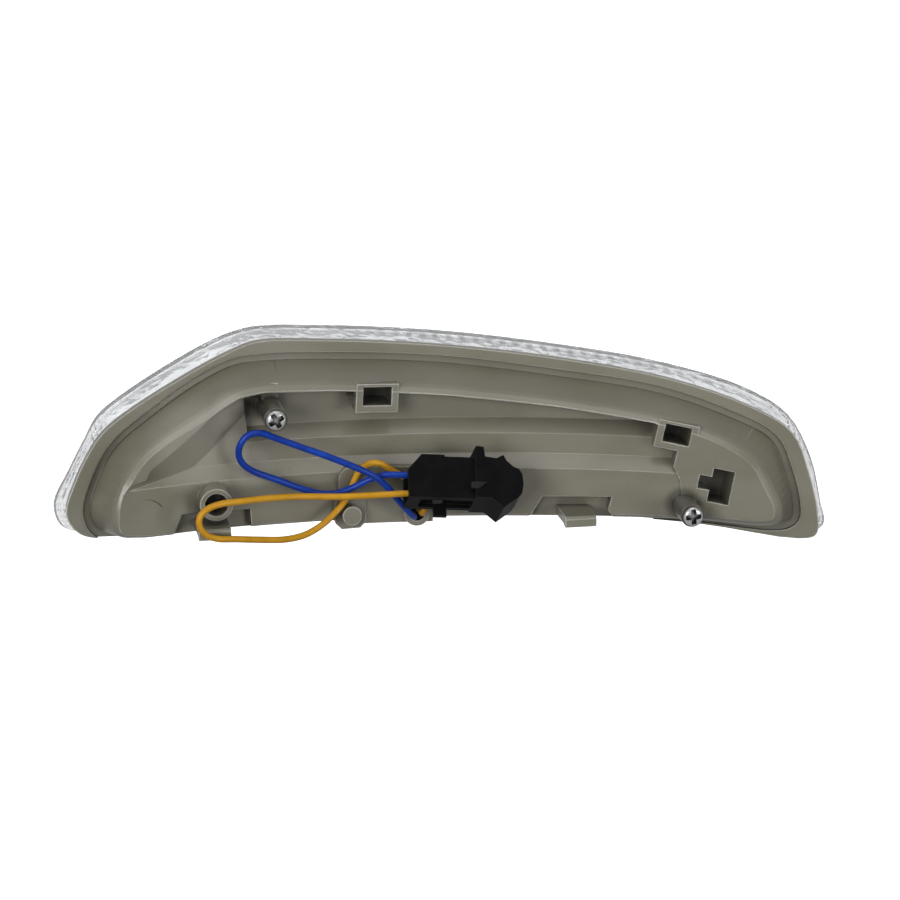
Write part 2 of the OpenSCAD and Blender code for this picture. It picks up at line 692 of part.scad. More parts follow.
// Tube swept along a route, with its two ends cut square.
module tube(route, d) {
  pts = open_curve(route, 2);
  sides = 8;
  n = len(pts);
  frames = frames_of(pts, n - 1);
  polyhedron(
    points = [
      for (i = [0:n - 1], j = [0:sides - 1])
        let (a = 360 * j / sides, u = frames[i][0], v = frames[i][1])
          pts[i] + d / 2 * (cos(a) * u + sin(a) * v)
    ],
    faces = concat(
      [[for (j = [0:sides - 1]) j]],
      [[for (j = [sides - 1:-1:0]) (n - 1) * sides + j]],
      [
        for (i = [0:n - 2], j = [0:sides - 1])
          let (a = i * sides + j, b = i * sides + (j + 1) % sides)
            each [[a, a + sides, b + sides], [a, b + sides, b]]
      ]));
}
function unit(v) = v / norm(v);
function heading(pts, i) = unit(pts[min(i + 1, len(pts) - 1)] - pts[max(i - 1, 0)]);
// Two directions across the tube at each point, carried along without twist.
function frames_of(pts, last) = [
  for (i = 0, t = heading(pts, 0), u = unit(cross(t, [0.3, 0.2, 1]));
    i <= last;
    i = i + 1, t = heading(pts, min(i, last)), u = unit(u - (u * t) * t))
    [u, cross(t, u)]
];
module wire_blue() {
  color([0.1, 0.25, 0.85])
    tube(blue_route, wire_d);
}
module wire_orange() {
  color([0.95, 0.62, 0.1])
    tube(orange_route, wire_d);
}

module in_plug() {
  translate(plug_at)
    rotate([0, plug_dip, 0])
      rotate([90 - plug_roll, 0, 0])
        children();
}
module plug_body() {
  color([0.06, 0.06, 0.07])
    in_plug()
      difference() {
        union() {
          translate([0, 0, -plug_t / 2])
            linear_extrude(plug_t)
              polygon(body_face);
          translate([hood_left - eps, -4.2 + mouth_v, -3])
            cube([3.4, 8.4, 6]);
          translate([-1.6, -plug_w / 2 - 2.2, -plug_t / 2])
            cube([3.4, 2.6, 1.3]);
        }
        translate([plug_left - 1, -plug_w / 2 + 1, 1 - plug_t / 2])
          cube([4.6, plug_w - 2, plug_t - 2]);
        translate([-window[0] / 2 + 1, -plug_w / 2 - 1, -window[1] / 2])
          cube([window[0], window[2] + 1, window[1]]);
        for (k = [-1, 1])
          translate([-6, k * lead_pitch / 2 + mouth_v - blade[1] / 2 - fit_gap, -blade[0] / 2 - fit_gap])
            cube([20, blade[1] + 2 * fit_gap, blade[0] + 2 * fit_gap]);
      }
}
module plug_hood() {
  color([0.09, 0.09, 0.1])
    in_plug()
      difference() {
        translate([0, 0, -hood_t / 2])
          linear_extrude(hood_t)
            polygon(hood_face);
        translate([hood_left - 1, -4.2 + mouth_v - fit_gap, -3 - fit_gap])
          cube([4.4 + fit_gap, 8.4 + 2 * fit_gap, 6 + 2 * fit_gap]);
        translate([hood_left + 4.9, mouth_v - mouth[1] / 2, -mouth[2] / 2])
          cube([mouth[0] + 4, mouth[1], mouth[2]]);
        for (k = [-1, 1])
          translate([hood_left, k * lead_pitch / 2 + mouth_v - blade[1] / 2 - fit_gap, -blade[0] / 2 - fit_gap])
            cube([6, blade[1] + 2 * fit_gap, blade[0] + 2 * fit_gap]);
      }
}
module plug_lock() {
  color([0.3, 0.3, 0.31])
    in_plug()
      translate([-1, -plug_w / 2 + window[2], 0])
        rotate([90, 0, 0])
          cylinder(r = 1.3, h = window[2] - 0.4, $fn = round_fn);
}
module terminal(k) {
  color([0.8, 0.72, 0.5])
    in_plug()
      translate([plug_left + 3.6 + 1.5, k * lead_pitch / 2 + mouth_v - blade[1] / 2, -blade[0] / 2])
        cube([hood_left + 7.5 - plug_left - 5.1, blade[1], blade[0]]);
}

housing();
lens();
reflector();
circuit_board();
led(0);  // led_1
led(1);  // led_2
led(2);  // led_3
led(3);  // led_4
led(4);  // led_5
resistor(0);  // resistor_1
resistor(1);  // resistor_2
resistor(2);  // resistor_3
diode();
board_leads();
screw(screw_axes[0]);  // screw_left
screw(screw_axes[1]);  // screw_right
wire_seal();
wire_blue();
wire_orange();
plug_body();
plug_hood();
plug_lock();
terminal(-1);  // terminal_1
terminal(1);  // terminal_2
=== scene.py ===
"""Looks of a door mirror's side repeater lamp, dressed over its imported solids."""

import logging
import math
from dataclasses import dataclass
from enum import Enum
from typing import Protocol

import bmesh
import bpy
from mathutils import Matrix, Vector


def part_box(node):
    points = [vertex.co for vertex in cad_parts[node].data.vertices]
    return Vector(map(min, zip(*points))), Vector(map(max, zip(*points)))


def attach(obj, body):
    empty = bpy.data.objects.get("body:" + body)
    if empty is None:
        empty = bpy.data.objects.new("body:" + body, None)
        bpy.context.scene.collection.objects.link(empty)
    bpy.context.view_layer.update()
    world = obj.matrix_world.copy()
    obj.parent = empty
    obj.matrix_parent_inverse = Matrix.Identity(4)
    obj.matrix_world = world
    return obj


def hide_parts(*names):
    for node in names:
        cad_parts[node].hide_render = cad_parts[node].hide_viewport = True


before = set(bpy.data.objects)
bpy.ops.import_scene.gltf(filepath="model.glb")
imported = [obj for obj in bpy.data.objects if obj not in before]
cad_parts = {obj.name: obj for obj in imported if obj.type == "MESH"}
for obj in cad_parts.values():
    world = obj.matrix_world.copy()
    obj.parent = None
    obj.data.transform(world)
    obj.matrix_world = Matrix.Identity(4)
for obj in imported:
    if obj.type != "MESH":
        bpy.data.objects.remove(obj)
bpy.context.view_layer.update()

LOG = logging.getLogger("repeater")
MM = 0.001
NOISE_MEAN = 0.5
SMOOTH_DEG = 30.0
Colour = tuple[float, float, float, float]
Triple = tuple[float, float, float]
Span = tuple[float, float]
Settings = dict[str, object]
Inputs = dict[str | int, object]
Face = tuple[int, ...]
Route = list[Triple]


def rgb(red: float, green: float, blue: float) -> Colour:
    """Return an opaque colour from its linear red, green and blue."""
    return (red, green, blue, 1.0)


def grey(level: float) -> Colour:
    """Return an opaque grey from its linear level."""
    return rgb(level, level, level)


class Maths(Enum):
    """Operations of the Math node."""

    ADD = "ADD"
    SUBTRACT = "SUBTRACT"
    MULTIPLY = "MULTIPLY"
    DIVIDE = "DIVIDE"
    POWER = "POWER"
    ABSOLUTE = "ABSOLUTE"
    PINGPONG = "PINGPONG"


class Axis(Enum):
    """The frame's axes, by their place in a vector."""

    X = 0
    Y = 1
    Z = 2


class Signal:
    """An output socket of a node tree, so that shader maths reads as an expression."""

    def __init__(self, graph: "Graph", socket: bpy.types.NodeSocket) -> None:
        """Keep the output socket and the graph that new Math nodes are added to."""
        self.graph = graph
        self.socket = socket

    def _math(
        self, operation: Maths, first: "Signal | float", second: "Signal | float" = 0.0
    ) -> "Signal":
        """Add a Math node for one operation.

        Args:
            operation: What the node works out.
            first: Left operand.
            second: Right operand.

        Returns:
            The node's output.
        """
        settings: Settings = {"operation": operation.value}
        node = self.graph.add("ShaderNodeMath", settings, {0: first, 1: second})
        return Signal(self.graph, node.outputs[0])

    def __add__(self, other: "Signal | float") -> "Signal":
        """Return self + other."""
        return self._math(Maths.ADD, self, other)

    __radd__ = __add__

    def __sub__(self, other: "Signal | float") -> "Signal":
        """Return self - other."""
        return self._math(Maths.SUBTRACT, self, other)

    def __rsub__(self, other: float) -> "Signal":
        """Return other - self."""
        return self._math(Maths.SUBTRACT, other, self)

    def __mul__(self, other: "Signal | float") -> "Signal":
        """Return self * other."""
        return self._math(Maths.MULTIPLY, self, other)

    __rmul__ = __mul__

    def __truediv__(self, other: "Signal | float") -> "Signal":
        """Return self / other."""
        return self._math(Maths.DIVIDE, self, other)

    def __rtruediv__(self, other: float) -> "Signal":
        """Return other / self."""
        return self._math(Maths.DIVIDE, other, self)

    def __pow__(self, other: "Signal | float") -> "Signal":
        """Return self raised to a power."""
        return self._math(Maths.POWER, self, other)

    def __rpow__(self, other: float) -> "Signal":
        """Return other raised to the power of self."""
        return self._math(Maths.POWER, other, self)

    def __abs__(self) -> "Signal":
        """Return self without its sign."""
        return self._math(Maths.ABSOLUTE, self)

    def saw(self, half: float) -> "Signal":
        """Return a wave that climbs from 0 to half and falls back, over and over."""
        return self._math(Maths.PINGPONG, self, half)

    def above(self, low: float, high: float) -> "Signal":
        """Return a smooth rise from 0 at low to 1 at high.

        Args:
            low: Value that gives 0.
            high: Value that gives 1.

        Returns:
            The rise, kept between 0 and 1.
        """
        node = self.graph.add(
            "ShaderNodeMapRange",
            {"interpolation_type": "SMOOTHSTEP", "clamp": True},
            {"Value": self, "From Min": low, "From Max": high},
        )
        return Signal(self.graph, node.outputs["Result"])

    def below(self, low: float, high: float) -> "Signal":
        """Return a smooth fall from 1 at low to 0 at high."""
        return 1.0 - self.above(low, high)


class Graph:
    """The node tree of one material."""

    HOLLOW_SAMPLES = 6
    RIM_SAMPLES = 6
    ROUNDING_SAMPLES = 4
    RIM_RANGE = (0.06, 0.17)
    SPECK_CORE = 0.6

    def __init__(self, name: str) -> None:
        """Make an empty material.

        Args:
            name: Name of the material.
        """
        self.material = bpy.data.materials.new(name)
        self.material.use_nodes = True
        self.tree = self.material.node_tree
        self.tree.nodes.clear()
        self.place = self.signal("ShaderNodeTexCoord", "Object")

    def add(
        self, kind: str, settings: Settings | None = None, inputs: Inputs | None = None
    ) -> bpy.types.Node:
        """Make any node from its type, settings and inputs.

        Args:
            kind: Identifier of the node's type.
            settings: The node's own settings; "stops" fills a colour ramp.
            inputs: Values or signals for the node's sockets, by name or number.

        Returns:
            The new node.
        """
        node = self.tree.nodes.new(kind)
        for key, value in (settings or {}).items():
            if key == "stops":
                self._fill_ramp(node, value)
            else:
                setattr(node, key, value)
        for key, value in (inputs or {}).items():
            if isinstance(value, Signal):
                self.tree.links.new(value.socket, node.inputs[key])
            else:
                node.inputs[key].default_value = value
        return node

    @staticmethod
    def _fill_ramp(node: bpy.types.Node, stops: list[tuple[float, Colour]]) -> None:
        """Set a colour ramp's stops.

        Args:
            node: Colour ramp node.
            stops: Position and colour of each stop, from left to right.
        """
        elements = node.color_ramp.elements
        while len(elements) < len(stops):
            elements.new(1.0)
        for element, (position, colour) in zip(elements, stops):
            element.position = position
            element.color = colour

    def signal(
        self,
        kind: str,
        output: str | int,
        settings: Settings | None = None,
        inputs: Inputs | None = None,
    ) -> Signal:
        """Make any node, as add does, and return one of its outputs by name or number."""
        return Signal(self, self.add(kind, settings, inputs).outputs[output])

    def noise(
        self, size_mm: float, detail: float = 2.0, stretch: Triple = (1.0, 1.0, 1.0)
    ) -> Signal:
        """Return a noise between 0 and 1 whose lumps have a given size.

        Args:
            size_mm: Size of the lumps in millimetres.
            detail: Number of finer layers.
            stretch: Factors on the coordinates along X, Y and Z.

        Returns:
            The noise's value.
        """
        place = self.signal("ShaderNodeMapping", 0, None, {"Vector": self.place, "Scale": stretch})
        inputs: Inputs = {"Vector": place, "Scale": 1.0 / (size_mm * MM), "Detail": detail}
        return self.signal("ShaderNodeTexNoise", "Fac", None, inputs)

    def cells(self, per_metre: float) -> Signal:
        """Return the distance to the middle of the nearest cell, as a share of a cell."""
        inputs: Inputs = {"Vector": self.place, "Scale": per_metre}
        return self.signal("ShaderNodeTexVoronoi", "Distance", None, inputs)

    def specks(self, size_mm: float, share: float) -> Signal:
        """Return round specks, 1 inside, that lie size_mm apart with share of it as radius."""
        return self.cells(1.0 / (size_mm * MM)).below(share * self.SPECK_CORE, share)

    def mix(
        self, factor: Signal | float, first: Signal | Colour, second: Signal | Colour
    ) -> Signal:
        """Mix two colours.

        Args:
            factor: 0 for the first colour, 1 for the second.
            first: Colour where the factor is 0.
            second: Colour where the factor is 1.

        Returns:
            The mixed colour.
        """
        # The node's colour sockets share their names with others, so they go by number.
        inputs: Inputs = {0: factor, 6: first, 7: second}
        return self.signal("ShaderNodeMix", 2, {"data_type": "RGBA"}, inputs)

    def ramp(self, value: Signal, stops: list[tuple[float, Colour]]) -> Signal:
        """Turn a value between 0 and 1 into a colour, by the position and colour of stops."""
        return self.signal("ShaderNodeValToRGB", "Color", {"stops": stops}, {"Fac": value})

    def hollows(self, reach_mm: float) -> Signal:
        """Return 1 on open faces, falling towards 0 in corners and hollows.

        Args:
            reach_mm: Distance over which nearby faces count.

        Returns:
            The openness.
        """
        settings: Settings = {"samples": self.HOLLOW_SAMPLES}
        inputs: Inputs = {"Distance": reach_mm * MM}
        return self.signal("ShaderNodeAmbientOcclusion", "AO", settings, inputs)

    def vector(self, operation: str, output: str, first: Signal, second: Signal | Triple) -> Signal:
        """Work out one step of vector maths and return its Vector or Value output."""
        settings: Settings = {"operation": operation}
        return self.signal("ShaderNodeVectorMath", output, settings, {0: first, 1: second})

    def away_from(self, centre_mm: Triple, keep: Triple = (1.0, 1.0, 1.0)) -> Signal:
        """Return the distance from a point in millimetres.

        Args:
            centre_mm: The point, in millimetres.
            keep: 1 for each axis that counts and 0 for each that doesn't.

        Returns:
            The distance.
        """
        scale = tuple(k / MM for k in keep)
        centre = tuple(c * k for c, k in zip(centre_mm, keep))
        place = self.vector("MULTIPLY", "Vector", self.place, scale)
        return self.vector("DISTANCE", "Value", place, centre)

    def along(self, axis: Axis) -> Signal:
        """Return the coordinate along one axis, in millimetres."""
        return self.signal("ShaderNodeSeparateXYZ", axis.value, None, {0: self.place}) / MM

    def rounded(self, radius_mm: float, samples: int) -> Signal:
        """Return the normal that the surface would have with its sharp edges rounded."""
        return self.signal("ShaderNodeBevel", 0, {"samples": samples}, {"Radius": radius_mm * MM})

    def rims(self, radius_mm: float) -> Signal:
        """Return how far the surface turns away close to an edge.

        Args:
            radius_mm: Distance from the edge over which it counts.

        Returns:
            0 on flat faces, rising to 1 at sharp edges.
        """
        flat = self.signal("ShaderNodeNewGeometry", "Normal")
        rounded = self.rounded(radius_mm, self.RIM_SAMPLES)
        likeness = self.vector("DOT_PRODUCT", "Value", rounded, flat)
        return (1.0 - likeness).above(*self.RIM_RANGE)

    def relief(self, height: Signal, depth_mm: float, edge_mm: float) -> Signal:
        """Return a normal for a fine relief, with the solid's edges rounded off.

        Args:
            height: Relief between 0 and 1.
            depth_mm: Depth of the relief in millimetres.
            edge_mm: Radius of the rounding of sharp edges, 0 for none.

        Returns:
            The normal.
        """
        inputs: Inputs = {"Height": height, "Distance": depth_mm * MM, "Strength": 1.0}
        if edge_mm:
            inputs["Normal"] = self.rounded(edge_mm, self.ROUNDING_SAMPLES)
        return self.signal("ShaderNodeBump", 0, None, inputs)

    def finish(self, inputs: Inputs) -> bpy.types.Material:
        """Close the tree with one Principled shader.

        Args:
            inputs: Values or signals for the shader's sockets.

        Returns:
            The finished material.
        """
        shader = self.add("ShaderNodeBsdfPrincipled", None, inputs)
        output = self.add("ShaderNodeOutputMaterial")
        self.tree.links.new(shader.outputs[0], output.inputs["Surface"])
        return self.material


class Finish(Protocol):
    """Anything that can make the material of a surface."""

    @property
    def name(self) -> str:
        """Return the material's name."""
        ...

    def material(self) -> bpy.types.Material:
        """Return the material."""
        ...


@dataclass(frozen=True)
class MouldedShell:
    """Semi-gloss moulded plastic of the housing, grey-beige and a little dusty.

    Shade is painted in its hollows and round the screw bosses, and light is painted as a
    highlight on its open edges and as a few sheen spots.

    Ranges hold the values at which a mask starts and ends, and shares say how much of a
    colour a mask lets through.
    """

    name: str = "housing_plastic"
    colour: Colour = rgb(0.240, 0.226, 0.172)
    pale: Colour = rgb(0.300, 0.286, 0.228)
    dust: Colour = rgb(0.42, 0.40, 0.35)
    # Colour of the painted highlight along the open edges.
    edge: Colour = rgb(0.92, 0.90, 0.82)
    # Dark colour of the painted shade in hollows and round the bosses, and of the scored arc.
    deep: Colour = rgb(0.030, 0.028, 0.018)
    # Colour of the painted sheen spots.
    painted_highlight: Colour = rgb(0.44, 0.425, 0.36)
    roughness: float = 0.31
    cloud_roughness: float = 0.16
    dust_roughness: float = 0.2
    coat: float = 0.3
    coat_roughness: float = 0.16
    index: float = 1.5
    flow_mm: float = 26.0
    flow_stretch: Triple = (1.0, 1.0, 2.6)
    flow_range: Span = (0.38, 0.66)
    flow_share: float = 0.6
    cloud_mm: float = 7.0
    cloud_detail: float = 3.0
    cloud_range: Span = (0.5, 0.75)
    cloud_share: float = 0.16
    speck_mm: float = 3.4
    speck_size: float = 0.05
    speck_share: float = 0.35
    grain_mm: float = 0.35
    grain_height: float = 0.6
    grain_depth_mm: float = 0.012
    rim_mm: float = 0.7
    shelter_mm: float = 12.0
    open_range: Span = (0.5, 0.9)
    shade_range: Span = (0.06, 0.72)
    shade_share: float = 0.92
    scar_centre: Triple = (-18.07, 0.38, -4.11)
    scar_radius: float = 6.22
    scar_width: Span = (0.05, 0.22)
    scar_fade_in: Span = (-19.2, -14.0)
    scar_foot: Span = (-0.7, -0.3)
    scar_end: Span = (-13.3, -13.1)
    scar_share: float = 0.85
    # Axes of the screw bosses, whose feet get painted shade.
    boss_axes: tuple[Triple, ...] = ((15.2, 0.0, 21.1), (121.1, 0.0, -8.3))
    boss_range: Span = (3.0, 5.6)
    boss_share: float = 0.8
    # Centre and radius of each painted sheen spot, in millimetres.
    painted_sheen_spots: tuple[tuple[Triple, float], ...] = (
        ((4.6, 8.8, 22.0), 6.0),
        ((-4.5, 6.0, 14.5), 15.0),
        ((10.0, 11.1, 5.9), 7.0),
    )
    spot_core: float = 0.4
    spot_share: float = 0.6

    def material(self) -> bpy.types.Material:
        """Return the material."""
        graph = Graph(self.name)
        flow = graph.noise(self.flow_mm, stretch=self.flow_stretch)
        cloud = graph.noise(self.cloud_mm, self.cloud_detail)
        grain = graph.noise(self.grain_mm, detail=1.0)
        specks = graph.specks(self.speck_mm, self.speck_size)
        shelter = graph.hollows(self.shelter_mm)
        body = graph.mix(flow.above(*self.flow_range) * self.flow_share, self.colour, self.pale)
        body = graph.mix(cloud.above(*self.cloud_range) * self.cloud_share, body, self.pale)
        body = graph.mix(specks * self.speck_share, body, self.dust)
        # Painted highlight: the open edges turn near-white.
        rims = graph.rims(self.rim_mm) * shelter.above(*self.open_range)
        body = graph.mix(rims, body, self.edge)
        body = graph.mix(self._scar(graph) * self.scar_share, body, self.deep)
        body = self._marks(graph, body)
        shaded = graph.mix(self.shade_share, body, self.deep)
        height = grain * self.grain_height + cloud * (1.0 - self.grain_height)
        return graph.finish(
            {
                "Base Color": graph.mix(shelter.above(*self.shade_range), shaded, body),
                "Roughness": self.roughness
                + (cloud - NOISE_MEAN) * self.cloud_roughness
                + specks * self.dust_roughness,
                "Coat Weight": self.coat,
                "Coat Roughness": self.coat_roughness,
                "IOR": self.index,
                "Normal": graph.relief(height, self.grain_depth_mm, self.rim_mm),
            }
        )

    def _scar(self, graph: Graph) -> Signal:
        """Return the thin arc that is scored into the panel's left end.

        Args:
            graph: The material's node tree.

        Returns:
            1 on the line, 0 elsewhere.
        """
        off_line = abs(graph.away_from(self.scar_centre) - self.scar_radius)
        x = graph.along(Axis.X)
        line = off_line.below(*self.scar_width) * graph.along(Axis.Z).above(*self.scar_foot)
        return line * x.above(*self.scar_fade_in) * x.below(*self.scar_end)

    def _marks(self, graph: Graph, body: Signal) -> Signal:
        """Paint shade round the feet of the screw bosses and paint the sheen spots.

        Args:
            graph: The material's node tree.
            body: Colour of the plastic.

        Returns:
            The colour with its marks.
        """
        # Painted shade round the foot of each screw boss.
        for centre in self.boss_axes:
            near = graph.away_from(centre, keep=(1.0, 0.0, 1.0)).below(*self.boss_range)
            body = graph.mix(near * self.boss_share, body, self.deep)
        # Painted sheen: pale spots where soft reflections fall.
        for centre, radius in self.painted_sheen_spots:
            near = graph.away_from(centre).below(radius * self.spot_core, radius)
            body = graph.mix(near * self.spot_share, body, self.painted_highlight)
        return body


@dataclass(frozen=True)
class ClearShell:
    """Clear polished plastic of the lens, mottled, with painted shade and highlight dashes on its
    upper edge.
    """

    name: str = "lens_plastic"
    colour: Colour = rgb(0.90, 0.91, 0.92)
    haze: Colour = rgb(0.78, 0.79, 0.80)
    # Colours of the painted highlight and painted shade dashes.
    bright: Colour = grey(1.0)
    shadow: Colour = rgb(0.42, 0.43, 0.44)
    roughness: float = 0.02
    haze_roughness: float = 0.05
    transmission: float = 0.88
    index: float = 1.49
    cells_per_metre: float = 340.0
    cell_height: float = 0.6
    wave_mm: float = 5.0
    wave_depth_mm: float = 0.16
    edge_mm: float = 0.3
    haze_mm: float = 11.0
    haze_range: Span = (0.35, 0.75)
    dull_range: Span = (0.45, 0.85)
    seam_curve: Triple = (20.28, 0.2706, -0.002222)
    row_start: Span = (34.0, 60.0)
    row_end: Span = (128.0, 140.0)
    row_low: Span = (4.6, 5.2)
    row_high: Span = (7.4, 8.0)
    tick_pitch: float = 3.5
    dark_tick: Span = (0.9, 1.2)
    dark_share: float = 0.75
    bright_tick: Span = (0.35, 0.6)
    bright_share: float = 0.8

    def material(self) -> bpy.types.Material:
        """Return the material."""
        graph = Graph(self.name)
        cells = graph.cells(self.cells_per_metre) * self.cell_height
        wave = graph.noise(self.wave_mm, detail=1.0) * (1.0 - self.cell_height) + cells
        haze = graph.noise(self.haze_mm)
        body = graph.mix(haze.above(*self.haze_range), self.colour, self.haze)
        saw = graph.along(Axis.X).saw(self.tick_pitch / 2)
        row = self._row(graph)
        # Painted shade and painted highlights: dark and bright dashes in a row.
        body = graph.mix(row * saw.above(*self.dark_tick) * self.dark_share, body, self.shadow)
        body = graph.mix(row * saw.below(*self.bright_tick) * self.bright_share, body, self.bright)
        return graph.finish(
            {
                "Base Color": body,
                "Roughness": self.roughness + haze.above(*self.dull_range) * self.haze_roughness,
                "Transmission Weight": self.transmission,
                "IOR": self.index,
                "Normal": graph.relief(wave, self.wave_depth_mm, self.edge_mm),
            }
        )

    def _row(self, graph: Graph) -> Signal:
        """Return the band that the row of painted dashes lies in, at one depth behind the seam.

        Args:
            graph: The material's node tree.

        Returns:
            1 in the band, 0 elsewhere.
        """
        start, slope, bend = self.seam_curve
        x = graph.along(Axis.X)
        depth = graph.along(Axis.Y) - (x * slope + x * x * bend + start)
        zone = x.above(*self.row_start) * x.below(*self.row_end)
        return depth.above(*self.row_low) * depth.below(*self.row_high) * zone


@dataclass(frozen=True)
class PlainPlastic:
    """Moulded plastic or rubber of one colour with a fine grain, a few specks of dust and, if set,
    a painted edge highlight.
    """

    name: str
    colour: Colour
    shade: Colour
    roughness: float = 0.4
    grain_mm: float = 0.3
    depth_mm: float = 0.01
    edge_mm: float = 0.2
    coat: float = 0.0
    coat_roughness: float = 0.2
    gloss: float = 0.5
    # Share and width of the painted highlight on the edges, in the edge colour.
    painted_highlight: float = 0.0
    painted_highlight_mm: float = 0.3
    edge: Colour = grey(0.06)
    dust: Colour = rgb(0.5, 0.5, 0.48)
    dust_share: float = 0.12
    speck_mm: float = 1.9
    speck_size: float = 0.04
    cloud_mm: float = 4.0
    cloud_range: Span = (0.35, 0.7)
    cloud_roughness: float = 0.14
    grain_roughness: float = 0.08

    def material(self) -> bpy.types.Material:
        """Return the material."""
        graph = Graph(self.name)
        cloud = graph.noise(self.cloud_mm)
        grain = graph.noise(self.grain_mm)
        specks = graph.specks(self.speck_mm, self.speck_size)
        stops = [(0.0, self.colour), (1.0, self.shade)]
        body = graph.ramp(cloud.above(*self.cloud_range), stops)
        # Painted highlight along the edges, in the edge colour.
        if self.painted_highlight:
            body = graph.mix(graph.rims(self.painted_highlight_mm) * self.painted_highlight, body, self.edge)
        return graph.finish(
            {
                "Base Color": graph.mix(specks * self.dust_share, body, self.dust),
                "Roughness": self.roughness
                + (cloud - NOISE_MEAN) * self.cloud_roughness
                + (grain - NOISE_MEAN) * self.grain_roughness,
                "Coat Weight": self.coat,
                "Coat Roughness": self.coat_roughness,
                "Specular IOR Level": self.gloss,
                "Normal": graph.relief(grain, self.depth_mm, self.edge_mm),
            }
        )


@dataclass(frozen=True)
class BareMetal:
    """Plated or bare metal with fine scratches and painted shade in its hollows."""

    name: str
    colour: Colour
    shade: Colour
    roughness: float = 0.24
    edge_mm: float = 0.1
    # Colour, reach and power of the painted shade in hollows.
    hollow_shade: Colour = rgb(0.02, 0.02, 0.018)
    hollow_shade_mm: float = 1.3
    hollow_shade_power: float = 2.2
    cloud_mm: float = 1.2
    cloud_range: Span = (0.4, 0.7)
    scratch_mm: float = 0.5
    scratch_stretch: Triple = (1.0, 1.0, 9.0)
    scratch_detail: float = 3.0
    scratch_roughness: float = 0.2
    scratch_depth_mm: float = 0.006

    def material(self) -> bpy.types.Material:
        """Return the material."""
        graph = Graph(self.name)
        cloud = graph.noise(self.cloud_mm)
        scratch = graph.noise(self.scratch_mm, self.scratch_detail, self.scratch_stretch)
        clean = graph.mix(cloud.above(*self.cloud_range), self.colour, self.shade)
        # Painted shade: darker where nearby faces close in, as in a screw's cross.
        openness = graph.hollows(self.hollow_shade_mm) ** self.hollow_shade_power
        return graph.finish(
            {
                "Base Color": graph.mix(openness, self.hollow_shade, clean),
                "Metallic": 1.0,
                "Roughness": self.roughness + (scratch - NOISE_MEAN) * self.scratch_roughness,
                "Normal": graph.relief(scratch, self.scratch_depth_mm, self.edge_mm),
            }
        )


@dataclass(frozen=True)
class BoardMask:
    """Green solder mask over copper tracks."""

    name: str = "board_mask"
    colour: Colour = rgb(0.012, 0.10, 0.045)
    track: Colour = rgb(0.03, 0.20, 0.09)
    tracks_per_metre: float = 110.0
    track_gap: float = 0.09
    track_blur: float = 0.1
    track_height: float = 0.8
    depth_mm: float = 0.03
    edge_mm: float = 0.1
    grain_mm: float = 0.4
    roughness: float = 0.28
    grain_roughness: float = 0.12
    coat: float = 0.3
    coat_roughness: float = 0.15

    def material(self) -> bpy.types.Material:
        """Return the material."""
        graph = Graph(self.name)
        upright: Inputs = {"Vector": graph.place, "Rotation": (math.pi / 2, 0, 0)}
        bricks = graph.signal(
            "ShaderNodeTexBrick",
            "Fac",
            None,
            {
                "Vector": graph.signal("ShaderNodeMapping", 0, None, upright),
                "Scale": self.tracks_per_metre,
                "Mortar Size": self.track_gap,
                "Mortar Smooth": self.track_blur,
            },
        )
        grain = graph.noise(self.grain_mm, detail=1.0)
        height = bricks * self.track_height + grain * (1.0 - self.track_height)
        return graph.finish(
            {
                "Base Color": graph.mix(bricks, self.colour, self.track),
                "Roughness": self.roughness + grain * self.grain_roughness,
                "Coat Weight": self.coat,
                "Coat Roughness": self.coat_roughness,
                "Normal": graph.relief(height, self.depth_mm, self.edge_mm),
            }
        )


@dataclass(frozen=True)
class LampResin:
    """Yellow phosphor resin of a light-emitting diode in its white cup."""

    name: str = "led_resin"
    resin: Colour = rgb(0.80, 0.60, 0.08)
    cup: Colour = rgb(0.78, 0.78, 0.74)
    cup_front: Span = (23.82, 23.88)
    cloud_mm: float = 0.6
    roughness: float = 0.25
    cloud_roughness: float = 0.2
    depth_mm: float = 0.01
    edge_mm: float = 0.1

    def material(self) -> bpy.types.Material:
        """Return the material."""
        graph = Graph(self.name)
        cloud = graph.noise(self.cloud_mm)
        past_cup = graph.along(Axis.Y).above(*self.cup_front)
        return graph.finish(
            {
                "Base Color": graph.mix(past_cup, self.cup, self.resin),
                "Roughness": self.roughness + cloud * self.cloud_roughness,
                "Normal": graph.relief(cloud, self.depth_mm, self.edge_mm),
            }
        )


@dataclass(frozen=True)
class FloorPaper:
    """Matt white paper that glows like a light table."""

    name: str = "floor_paper"
    colour: Colour = grey(0.93)
    pale: Colour = grey(0.95)
    cloud_mm: float = 400.0
    roughness: float = 0.9
    glow: float = 0.95

    def material(self) -> bpy.types.Material:
        """Return the material."""
        graph = Graph(self.name)
        cloud = graph.noise(self.cloud_mm, detail=1.0)
        return graph.finish(
            {
                "Base Color": graph.mix(cloud, self.colour, self.pale),
                "Roughness": self.roughness,
                "Specular IOR Level": 0.0,
                "Emission Color": grey(1.0),
                "Emission Strength": self.glow,
            }
        )


def dress(node: str, finish: Finish, smooth_deg: float = SMOOTH_DEG) -> bpy.types.Object:
    """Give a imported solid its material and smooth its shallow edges.

    Args:
        node: Name of the solid.
        finish: Finish that makes the material.
        smooth_deg: Edges flatter than this are shaded smooth.

    Returns:
        The solid's object.
    """
    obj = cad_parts[node]
    paint(obj, finish, smooth_deg)
    evened = obj.modifiers.new("evened_normals", "WEIGHTED_NORMAL")
    evened.keep_sharp = True
    LOG.info("%s dressed", node)
    return obj


